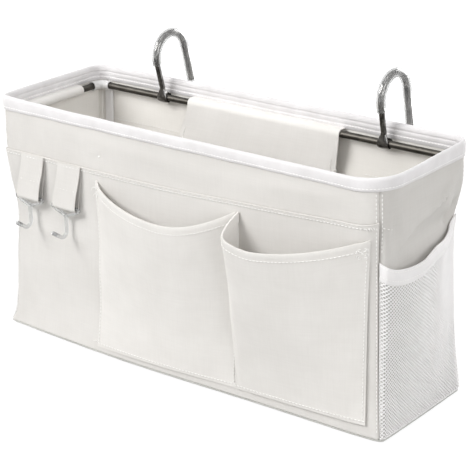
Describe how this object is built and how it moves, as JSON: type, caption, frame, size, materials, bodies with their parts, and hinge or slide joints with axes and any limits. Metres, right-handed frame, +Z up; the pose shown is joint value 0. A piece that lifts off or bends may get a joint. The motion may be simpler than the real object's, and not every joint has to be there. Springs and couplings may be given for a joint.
{
  "type": "bedside caddy",
  "caption": "Cloth bedside caddy on a bent rod frame, with swinging steel bed hooks, front pockets, net end pockets and clear utility hooks on sewn tabs.",
  "frame": {"origin": "middle of the width on the base underside, level with the middle of the rim's depth", "axes": "+X to the viewer's right along the front, +Y from the pocket front to the hook side, +Z up"},
  "size_m": [0.4314, 0.1966, 0.2662],
  "materials": {
    "cloth": "plain woven cloth, off-white",
    "tape": "ribbed binding tape, white",
    "net": "knitted mesh, white",
    "board": "stiffener sheet",
    "frame_rod": "bright drawn rod",
    "hook_steel": "polished wire",
    "elbow": "moulded, white",
    "clear_guard": "clear soft sleeve",
    "clear_hook": "clear moulded"
  },
  "bodies": {
    "bag": {"front_panel": "cloth", "right_panel": "cloth", "back_panel": "cloth", "left_panel": "cloth", "bottom_panel": "cloth", "base_board": "board", "rim_binding": "tape", "seam_tape_front_left": "tape", "seam_tape_front_right": "tape", "seam_tape_back_right": "tape", "seam_tape_back_left": "tape", "frame_bent_rod": "frame_rod", "frame_left_rod": "frame_rod", "elbow_back_left": "elbow", "elbow_front_left": "elbow", "back_rod_casing": "cloth", "front_rod_casing": "cloth", "left_rod_casing": "cloth", "right_rod_casing": "cloth", "front_overlay_panel": "cloth", "front_pocket_left": "cloth", "front_pocket_right": "cloth", "net_pocket_right": "net", "net_band_right": "tape", "net_pocket_left": "net", "net_band_left": "tape"},
    "hook_left": {"hook_left": "hook_steel", "hook_left_guard": "clear_guard"},
    "hook_right": {"hook_right": "hook_steel", "hook_right_guard": "clear_guard"},
    "tab_left": {"tab_left": "cloth"},
    "utility_hook_left": {"utility_hook_left": "clear_hook"},
    "tab_right": {"tab_right": "cloth"},
    "utility_hook_right": {"utility_hook_right": "clear_hook"}
  },
  "joints": [
    {"name": "hook_left_swing", "type": "hinge", "parent": "bag", "child": "hook_left", "pos_m": [-0.1145, 0.05725, 0.2041], "axis": [1, 0, 0], "range_deg": [-21.5, 149.5]},
    {"name": "hook_right_swing", "type": "hinge", "parent": "bag", "child": "hook_right", "pos_m": [0.124, 0.05725, 0.2041], "axis": [1, 0, 0], "range_deg": [-18, 153]},
    {"name": "tab_left_flap", "type": "hinge", "parent": "bag", "child": "tab_left", "pos_m": [-0.1661, -0.06565, 0.172], "axis": [-1, 0, 0], "range_deg": [0, 90]},
    {"name": "utility_hook_left_swing", "type": "hinge", "parent": "tab_left", "child": "utility_hook_left", "pos_m": [-0.1661, -0.0683, 0.132], "axis": [-1, 0, 0], "range_deg": [0, 100]},
    {"name": "tab_right_flap", "type": "hinge", "parent": "bag", "child": "tab_right", "pos_m": [-0.1213, -0.06623, 0.172], "axis": [-1, 0, 0], "range_deg": [0, 90]},
    {"name": "utility_hook_right_swing", "type": "hinge", "parent": "tab_right", "child": "utility_hook_right", "pos_m": [-0.1213, -0.06889, 0.132], "axis": [-1, 0, 0], "range_deg": [0, 100]}
  ]
}
